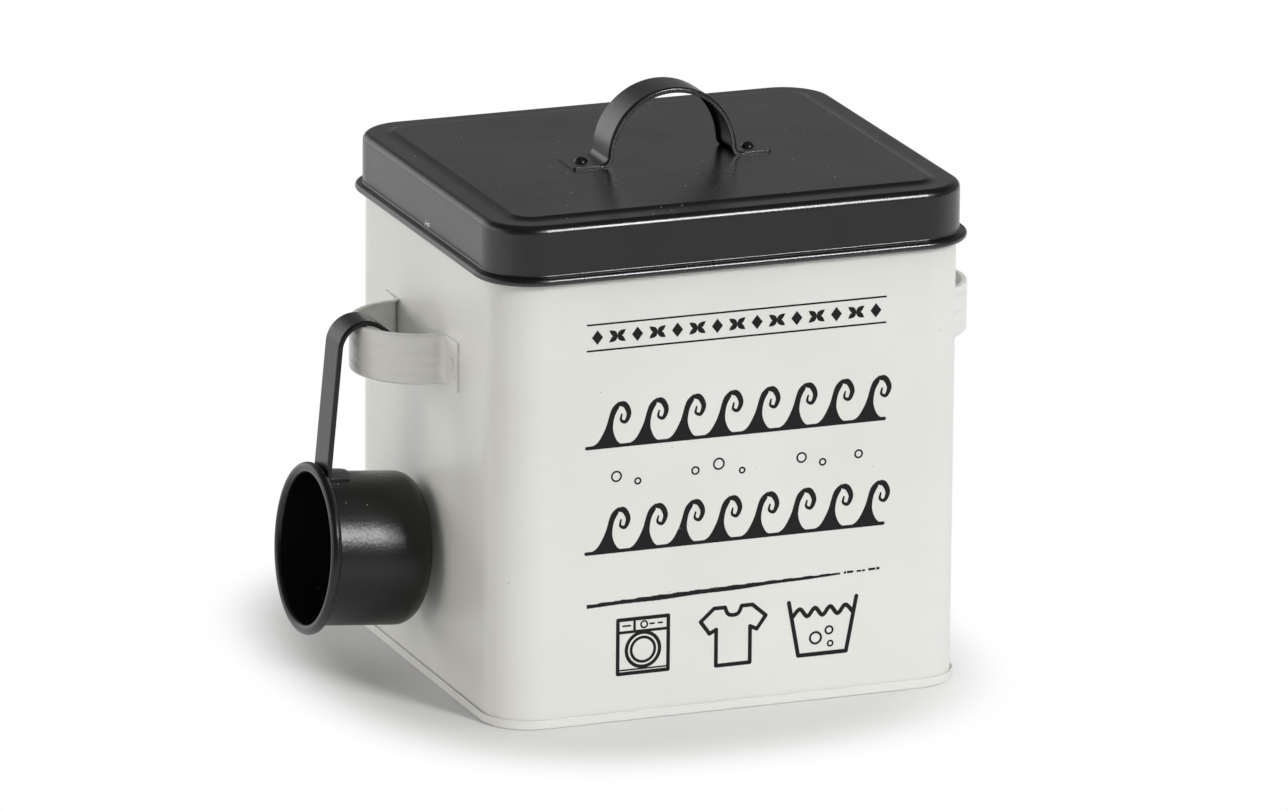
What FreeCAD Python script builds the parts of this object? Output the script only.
import FreeCAD, Part
import math
import os

from FreeCAD import Vector

# Detergent storage box: a wrapped sheet-steel box with a lift-off lid and a
# hanging measuring scoop. Millimetres. +Z is up, the front wall faces -Y, and
# the origin is the middle of the footprint, on the surface the box stands on.

# ---------------------------------------------------------------- box
box_width = 220.0
box_depth = 189.0
corner_radius = 21.0
wall_sheet = 0.5
wall_top = 227.2
rim_curl_radius = 1.7          # outside of the inward curl along the top edge
back_seam_width = 5.0
back_seam_proud = 0.5

# base: a pressed panel whose edge is folded round the foot of the wall
base_sheet = 0.5
seam_height = 4.2
seam_proud = 1.2
seam_fold_radius = 0.35
seam_gap = 0.1
floor_height = 4.0
floor_bend_radius = 1.0

# ---------------------------------------------------------------- lid
lid_sheet = 0.5
lid_fit = 0.9                  # clear gap between box wall and lid skirt
lid_seat = 0.4                 # clear gap between rim curl and lid
lid_edge_radius = 3.4
lid_bead_radius = 1.8
lid_bead_height = 203.8        # middle of the bead along the skirt's foot
lid_cove_radius = 1.0
lid_bead_neck = 0.8            # flat between the cove and the bead
panel_inset = 14.2             # skirt to the shoulder of the raised panel
panel_step_width = 2.4
panel_rise = 1.1
panel_shoulder_radius = 1.2
panel_step_share = 0.92        # of the room there is, for the step's two roundings

# ---------------------------------------------------------------- handles
strap_sheet = 1.0
strap_edge_radius = 1.1        # rounding where a strap turns into its lips
lip_depth = 2.4                # outer face to the free edge of a lip
foot_bend_radius = 4.0         # middle of the sheet, where a leg turns into its foot
arch_half_length = 46.7
rivet_from_centre = 39.5
foot_corner_radius = 1.0

lid_arch_radius = 30.5         # outer face of the arch
lid_arch_centre = 2.9          # height of its middle above the surface it stands on
lid_handle_width = 20.4
lid_handle_x = 0.3
lid_handle_y = -5.0

side_arch_radius = 30.4
side_arch_centre = 2.0
side_handle_width = 22.8
side_handle_top = 163.6
left_handle_y = 4.2
right_handle_y = -8.0

# ---------------------------------------------------------------- rivets
rivet_shank = 3.2
rivet_hole_gap = 0.1
rivet_tail = 6.0
rivet_tail_thickness = 0.8
strap_hole_run = 4 * strap_sheet       # long enough to cut right through the sheet
wall_hole_run = 8 * wall_sheet
lid_hole_run = 8 * lid_sheet
dome_rivet_head = 6.4
dome_rivet_height = 2.1
flat_rivet_head = 5.8
flat_rivet_height = 0.7

# ---------------------------------------------------------------- scoop
cup_radius = 34.2
cup_length = 48.6              # ring plane of the rim to the closed end
cup_sheet = 0.7
cup_corner_radius = 9.0
cup_rim_radius = 2.4           # outside of the curled rim
scoop_strap_width = 17.4
scoop_lip_depth = 2.1
scoop_foot_length = 13.0
scoop_foot_half_angle = 14.6
scoop_foot_chamfer_run = 2.0
scoop_foot_chamfer_side = 5.0
scoop_weld_gap = 0.1
hook_radius = 13.0             # outer face of the hook
hook_height = 92.8             # cup axis to the middle of the hook
hook_wrap = 124.0
hook_tip_length = 14.0
hook_clearance = 0.3
hook_inside_loop = 3.0         # widest point of the side handle to the middle of the hook
scoop_tilt = 5.3
cup_clearing_run = 4 * cup_radius      # long enough to clear the cup's whole inside
strap_root_share = 0.9         # of the cup's radius: where the strap is cut to the cup

# ---------------------------------------------------------------- making
small_bend_share = 0.6         # of the room there is, for a small rounding
curl_end_share = 0.65          # of a curl's radius: how far its free edge stops short
bead_end_share = 0.95          # of the bead's radius: the last bend inside it
join_overlap = 0.1             # how far joined solids run into each other
edge_gap = 0.01                # for telling one edge from another
no_length = 1e-6


# ================================================================ helpers
def offset_points(points, distance):
    """The corners of a polyline moved sideways, to the left of its travel."""
    lines = []
    for a, b in zip(points[:-1], points[1:]):
        length = math.dist(a, b)
        nx = -(b[1] - a[1]) / length
        ny = (b[0] - a[0]) / length
        move = (nx * distance, ny * distance)
        lines.append(((a[0] + move[0], a[1] + move[1]), (b[0] + move[0], b[1] + move[1])))
    moved = [lines[0][0]]
    for (p, q), (r, s) in zip(lines[:-1], lines[1:]):
        dx, dy = q[0] - p[0], q[1] - p[1]
        ex, ey = s[0] - r[0], s[1] - r[1]
        share = ((r[0] - p[0]) * ey - (r[1] - p[1]) * ex) / (dx * ey - dy * ex)
        moved.append((p[0] + share * dx, p[1] + share * dy))
    moved.append(lines[-1][1])
    return moved


def turn_side(a, b, c):
    """+1 where a polyline turns left at b, and -1 where it turns right."""
    cross = (b[0] - a[0]) * (c[1] - b[1]) - (b[1] - a[1]) * (c[0] - b[0])
    return 1.0 if cross > 0 else -1.0


def rounded_edges(points, radii, place):
    """Lines and tangent arcs along a polyline. place turns (u, v) into a point."""
    edges = []
    last = points[0]
    for i, radius in enumerate(radii):
        a, b, c = points[i], points[i + 1], points[i + 2]
        before, after = math.dist(a, b), math.dist(b, c)
        u = ((a[0] - b[0]) / before, (a[1] - b[1]) / before)
        w = ((c[0] - b[0]) / after, (c[1] - b[1]) / after)
        half = math.acos(max(-1.0, min(1.0, u[0] * w[0] + u[1] * w[1]))) / 2
        reach = radius / math.tan(half)
        start = (b[0] + u[0] * reach, b[1] + u[1] * reach)
        end = (b[0] + w[0] * reach, b[1] + w[1] * reach)
        bisector = (u[0] + w[0], u[1] + w[1])
        size = math.hypot(*bisector)
        depth = radius / math.sin(half) - radius
        middle = (b[0] + bisector[0] / size * depth, b[1] + bisector[1] / size * depth)
        if math.dist(last, start) > no_length:
            edges.append(Part.makeLine(place(last), place(start)))
        edges.append(Part.Arc(place(start), place(middle), place(end)).toShape())
        last = end
    if math.dist(last, points[-1]) > no_length:
        edges.append(Part.makeLine(place(last), place(points[-1])))
    return edges


def sheet_face(points, radii, thickness, place):
    """The cut face of a bent sheet whose middle line has these corners and radii."""
    sides = []
    ends = []
    for side in (0.5, -0.5):
        distance = side * thickness
        corners = offset_points(points, distance)
        bends = []
        for i, radius in enumerate(radii):
            bends.append(radius - distance * turn_side(*points[i:i + 3]))
        sides += rounded_edges(corners, bends, place)
        ends.append((corners[0], corners[-1]))
    for i in (0, 1):
        sides.append(Part.makeLine(place(ends[0][i]), place(ends[1][i])))
    return Part.Face(Part.Wire(Part.__sortEdges__(sides)))


def fused(shapes):
    """One solid from pieces that meet or overlap."""
    return shapes[0].multiFuse(shapes[1:]).removeSplitter()


def round_the_box(points, radii, thickness):
    """A bent sheet run round the rounded rectangle of the box.

    Each point is (distance out from the box wall's outer face, height).
    """
    half_x = box_width / 2 - corner_radius
    half_y = box_depth / 2 - corner_radius
    pieces = []
    for x, y, start in ((1, 1, 0), (-1, 1, 90), (-1, -1, 180), (1, -1, 270)):
        angle = math.radians(start)
        out = Vector(math.cos(angle), math.sin(angle), 0)
        centre = Vector(x * half_x, y * half_y, 0)

        def place(p, out=out, centre=centre):
            return centre + out * (corner_radius + p[0]) + Vector(0, 0, p[1])

        face = sheet_face(points, radii, thickness, place)
        pieces.append(face.revolve(centre, Vector(0, 0, 1), 90))
        run = 2 * half_y if start in (0, 180) else 2 * half_x
        back_along = Vector(math.sin(angle), -math.cos(angle), 0)
        pieces.append(face.extrude(back_along * run))
    return pieces


def plate(bottom, top):
    """The flat rectangle between the four corner centres, at these heights."""
    half_x = box_width / 2 - corner_radius
    half_y = box_depth / 2 - corner_radius
    corner = Vector(-half_x, -half_y, bottom)
    return Part.makeBox(2 * half_x, 2 * half_y, top - bottom, corner)


def rivet(head, head_height, domed, grip):
    """A rivet along Z. Its head sits on z = 0 and its tail below -grip."""
    shank_low = Vector(0, 0, -grip - join_overlap)
    shank = Part.makeCylinder(rivet_shank / 2, grip + 2 * join_overlap, shank_low)
    tail_low = Vector(0, 0, -grip - rivet_tail_thickness)
    tail = Part.makeCylinder(rivet_tail / 2, rivet_tail_thickness, tail_low)
    if domed:
        radius = ((head / 2) ** 2 + head_height ** 2) / (2 * head_height)
        ball = Part.makeSphere(radius, Vector(0, 0, head_height - radius))
        above = Part.makeBox(2 * head, 2 * head, head_height, Vector(-head, -head, 0))
        cap = ball.common(above)
    else:
        cap = Part.makeCylinder(head / 2, head_height)
        top_edges = [e for e in cap.Edges if e.BoundBox.ZMin > head_height - edge_gap]
        cap = cap.makeFillet(head_height * small_bend_share, top_edges)
    return fused([shank, tail, cap])


def rivet_hole(length):
    """The bored hole for a rivet along Z, centred on z = 0."""
    radius = rivet_shank / 2 + rivet_hole_gap
    return Part.makeCylinder(radius, length, Vector(0, 0, -length / 2))


def lipped_section(width, depth, place):
    """Cut face of a strap with both long edges turned over.

    (u, v): u across the strap, v from the outer face (0) inwards (positive).
    """
    half = width / 2 - strap_sheet / 2
    middle = strap_sheet / 2
    corners = [(-half, depth), (-half, middle), (half, middle), (half, depth)]
    bend = strap_edge_radius - strap_sheet / 2
    return sheet_face(corners, [bend, bend], strap_sheet, place)


def strap_arch(width, radius, centre_height):
    """An arched strap handle: feet on z = 0, span along X, width along Y."""
    middle = radius - strap_sheet / 2
    rise = foot_bend_radius + strap_sheet / 2
    span = middle + foot_bend_radius
    bend_x = math.sqrt(span ** 2 - (rise - centre_height) ** 2)
    end_angle = math.degrees(math.asin((rise - centre_height) / span))
    centre = Vector(0, 0, centre_height)
    out = Vector(math.cos(math.radians(end_angle)), 0, math.sin(math.radians(end_angle)))

    def at_leg(p):
        return centre + out * (radius - p[1]) + Vector(0, p[0], 0)

    section = lipped_section(width, lip_depth, at_leg)
    arch = section.revolve(centre, Vector(0, -1, 0), 180 - 2 * end_angle)
    bend = section.revolve(Vector(bend_x, 0, rise), Vector(0, -1, 0), 90 - end_angle)
    under = Part.makeBox(middle, 2 * width, span, Vector(middle / 2, -width, -span))
    foot_length = arch_half_length - bend_x
    foot = Part.makeBox(foot_length, width, strap_sheet, Vector(bend_x, -width / 2, 0))
    tips = [
        e
        for e in foot.Edges
        if e.BoundBox.ZLength > strap_sheet / 2
        and e.CenterOfMass.x > arch_half_length - edge_gap
    ]
    leg = fused([bend.cut(under), foot.makeFillet(foot_corner_radius, tips)])
    hole = rivet_hole(strap_hole_run)
    hole.translate(Vector(rivet_from_centre, 0, 0))
    leg = leg.cut(hole)
    return fused([arch, leg, leg.mirror(Vector(), Vector(1, 0, 0))])


# ================================================================ box body
def body_wall():
    middle = -wall_sheet / 2
    hook = seam_proud - base_sheet - seam_gap - wall_sheet / 2
    hook_low = base_sheet + seam_gap + wall_sheet / 2
    hook_top = seam_height - wall_sheet
    curl = rim_curl_radius - wall_sheet / 2
    top = wall_top - wall_sheet / 2
    points = [
        (hook, hook_top),
        (hook, hook_low),
        (middle, hook_low),
        (middle, top),
        (middle - 2 * curl, top),
        (middle - 2 * curl, top - 2 * curl),
        (middle - curl_end_share * curl, top - 2 * curl),
    ]
    fold = (hook - middle) / 2
    radii = [fold, fold, curl, curl, curl]
    wall = fused(round_the_box(points, radii, wall_sheet))
    seam = Part.makeBox(
        back_seam_width,
        back_seam_proud + wall_sheet / 2,
        wall_top - rim_curl_radius - seam_height - seam_gap,
        Vector(-back_seam_width / 2, box_depth / 2 - wall_sheet / 2, seam_height + seam_gap),
    )
    outer = [
        e
        for e in seam.Edges
        if e.BoundBox.ZLength > seam_height and e.BoundBox.YMin > box_depth / 2 + edge_gap
    ]
    wall = fused([wall, seam.makeFillet(back_seam_proud * small_bend_share, outer)])
    for side, y_middle in ((-1, left_handle_y), (1, right_handle_y)):
        for end in (-1, 1):
            hole = rivet_hole(wall_hole_run)
            hole.rotate(Vector(), Vector(0, 1, 0), 90)
            y = y_middle + end * rivet_from_centre
            hole.translate(Vector(side * box_width / 2, y, side_handle_middle))
            wall = wall.cut(hole)
    return wall


def base_panel():
    inner_leg = -wall_sheet - seam_gap - base_sheet / 2
    outer_leg = seam_proud - base_sheet / 2
    low = base_sheet / 2
    floor = floor_height - base_sheet / 2
    points = [
        (-corner_radius, floor),
        (inner_leg, floor),
        (inner_leg, low),
        (outer_leg, low),
        (outer_leg, seam_height),
    ]
    fold = (outer_leg - inner_leg) / 2
    radii = [floor_bend_radius, seam_fold_radius + base_sheet / 2, fold * small_bend_share]
    pieces = round_the_box(points, radii, base_sheet)
    pieces.append(plate(floor_height - base_sheet, floor_height))
    return fused(pieces)


# ================================================================ lid
lid_ring_top = wall_top + lid_seat + lid_sheet
lid_panel_top = lid_ring_top + panel_rise
skirt_out = lid_fit + lid_sheet


def lid_shell():
    half = lid_sheet / 2
    bead = lid_bead_radius - half
    panel = lid_panel_top - half
    ring = lid_ring_top - half
    skirt = skirt_out - half
    shoulder = skirt_out - panel_inset
    step_slope = math.atan(panel_rise / panel_step_width)
    room = math.hypot(panel_step_width, panel_rise) / math.tan(step_slope / 2)
    bead_top = lid_bead_height + bead
    bead_out = skirt + lid_cove_radius + lid_bead_neck + bead
    points = [
        (-corner_radius, panel),
        (shoulder, panel),
        (shoulder + panel_step_width, ring),
        (skirt, ring),
        (skirt, bead_top),
        (bead_out, bead_top),
        (bead_out, lid_bead_height - bead),
        (bead_out - 2 * bead, lid_bead_height - bead),
        (bead_out - 2 * bead, lid_bead_height),
    ]
    radii = [
        panel_shoulder_radius,
        panel_step_share * room - panel_shoulder_radius,
        lid_edge_radius - half,
        lid_cove_radius,
        bead,
        bead,
        bead * bead_end_share,
    ]
    pieces = round_the_box(points, radii, lid_sheet)
    pieces.append(plate(lid_panel_top - lid_sheet, lid_panel_top))
    shell = fused(pieces)
    for side in (-1, 1):
        hole = rivet_hole(lid_hole_run)
        x = lid_handle_x + side * rivet_from_centre
        hole.translate(Vector(x, lid_handle_y, lid_panel_top))
        shell = shell.cut(hole)
    return shell


def lid_handle():
    handle = strap_arch(lid_handle_width, lid_arch_radius, lid_arch_centre)
    handle.translate(Vector(lid_handle_x, lid_handle_y, lid_panel_top))
    return handle


def lid_rivet(side):
    piece = rivet(dome_rivet_head, dome_rivet_height, True, strap_sheet + lid_sheet)
    x = lid_handle_x + side * rivet_from_centre
    piece.translate(Vector(x, lid_handle_y, lid_panel_top + strap_sheet))
    return piece


# ================================================================ side handles
side_handle_middle = side_handle_top - side_handle_width / 2


def onto_side(shape, side, y_middle):
    """Turns a piece modelled on z = 0 onto the left (-1) or right (+1) wall."""
    shape.rotate(Vector(), Vector(0, 0, 1), 90)
    shape.rotate(Vector(), Vector(0, 1, 0), side * 90)
    shape.translate(Vector(side * box_width / 2, y_middle, side_handle_middle))
    return shape


def side_rivet(side, y_middle, end):
    piece = rivet(flat_rivet_head, flat_rivet_height, False, strap_sheet + wall_sheet)
    piece.translate(Vector(end * rivet_from_centre, 0, strap_sheet))
    return onto_side(piece, side, y_middle)


# ================================================================ scoop
# The scoop is modelled with its cup axis along +X from the rim's ring plane
# and its strap rising along +Z, and is then hung on the left side handle.
scoop_strap_setback = cup_rim_radius + scoop_weld_gap
hook_centre_x = scoop_strap_setback + hook_radius
lip_radius = hook_radius - scoop_lip_depth
side_loop_reach = side_arch_centre + side_arch_radius
hook_x = -box_width / 2 - side_loop_reach + hook_inside_loop
loop_sag_at_strap = side_arch_radius * (
    1 - math.cos(math.asin(scoop_strap_width / 2 / side_arch_radius))
)


def hook_height_in_box():
    """Height of the hook's middle, so that its lips clear the handle's edge."""
    near = -box_width / 2 - side_loop_reach + loop_sag_at_strap
    off = max(abs(near - hook_x), abs(near + lip_depth - hook_x))
    return side_handle_top + hook_clearance - math.sqrt(lip_radius ** 2 - off ** 2)


def hang(shape):
    """Turns and moves a scoop piece from its own frame to where it hangs."""
    shape.rotate(Vector(hook_centre_x, 0, hook_height), Vector(0, 1, 0), scoop_tilt)
    move_x = hook_x - hook_centre_x
    move_z = hook_height_in_box() - hook_height
    shape.translate(Vector(move_x, left_handle_y, move_z))
    return shape


def scoop_cup():
    half = cup_sheet / 2
    wall = cup_radius - half
    curl = cup_rim_radius - half
    points = [
        (cup_length - half, 0),
        (cup_length - half, wall),
        (-curl, wall),
        (-curl, wall + 2 * curl),
        (curl, wall + 2 * curl),
        (curl, wall + curl_end_share * curl),
    ]
    radii = [cup_corner_radius - half, curl, curl, curl]
    face = sheet_face(points, radii, cup_sheet, lambda p: Vector(p[0], 0, p[1]))
    return hang(face.revolve(Vector(), Vector(1, 0, 0), 360))


def scoop_handle():
    centre = Vector(hook_centre_x, 0, hook_height)
    seat = cup_radius + scoop_weld_gap

    def at_start(p):
        return Vector(scoop_strap_setback + p[1], p[0], hook_height)

    section = lipped_section(scoop_strap_width, scoop_lip_depth, at_start)
    straight = section.extrude(Vector(0, 0, -hook_height + seat * strap_root_share))
    inside_cup = Part.makeCylinder(
        seat,
        cup_clearing_run,
        Vector(-cup_radius, 0, 0),
        Vector(1, 0, 0),
    )
    straight = straight.cut(inside_cup)
    hook = section.revolve(centre, Vector(0, 1, 0), hook_wrap)
    tip_section = section.copy()
    tip_section.rotate(centre, Vector(0, 1, 0), hook_wrap)
    heading = math.radians(90 - hook_wrap)
    tip_way = Vector(math.cos(heading), 0, math.sin(heading)) * hook_tip_length
    tip = tip_section.extrude(tip_way)
    foot = Part.makeCylinder(
        seat + strap_sheet,
        scoop_foot_length,
        Vector(scoop_strap_setback, 0, 0),
        Vector(1, 0, 0),
    ).cut(inside_cup)
    half = seat * math.sin(math.radians(scoop_foot_half_angle))
    end = scoop_strap_setback + scoop_foot_length
    outline = [
        Vector(scoop_strap_setback, -half, 0),
        Vector(end - scoop_foot_chamfer_run, -half, 0),
        Vector(end, -half + scoop_foot_chamfer_side, 0),
        Vector(end, half - scoop_foot_chamfer_side, 0),
        Vector(end - scoop_foot_chamfer_run, half, 0),
        Vector(scoop_strap_setback, half, 0),
    ]
    prism = Part.Face(Part.makePolygon(outline + outline[:1])).extrude(Vector(0, 0, 2 * seat))
    foot = foot.common(prism)
    return hang(fused([straight, hook, tip, foot]))


# ================================================================ output
def main():
    parts = {
        "body_wall": body_wall(),
        "base_panel": base_panel(),
        "lid_shell": lid_shell(),
        "lid_handle": lid_handle(),
        "lid_rivet_left": lid_rivet(-1),
        "lid_rivet_right": lid_rivet(1),
        "scoop_cup": scoop_cup(),
        "scoop_handle": scoop_handle(),
    }
    sides = (("left", -1, left_handle_y), ("right", 1, right_handle_y))
    for name, side, y_middle in sides:
        handle = strap_arch(side_handle_width, side_arch_radius, side_arch_centre)
        parts[f"{name}_side_handle"] = onto_side(handle, side, y_middle)
        for place, end in (("front", -1), ("rear", 1)):
            parts[f"{name}_{place}_rivet"] = side_rivet(side, y_middle, end)
    os.makedirs("parts", exist_ok=True)
    for name, shape in parts.items():
        solids = shape.Solids
        print(f"{name}: {len(solids)} solid, {shape.Volume:.1f} mm3, valid {shape.isValid()}")
        solids[0].exportStep(f"parts/{name}.step")


main()
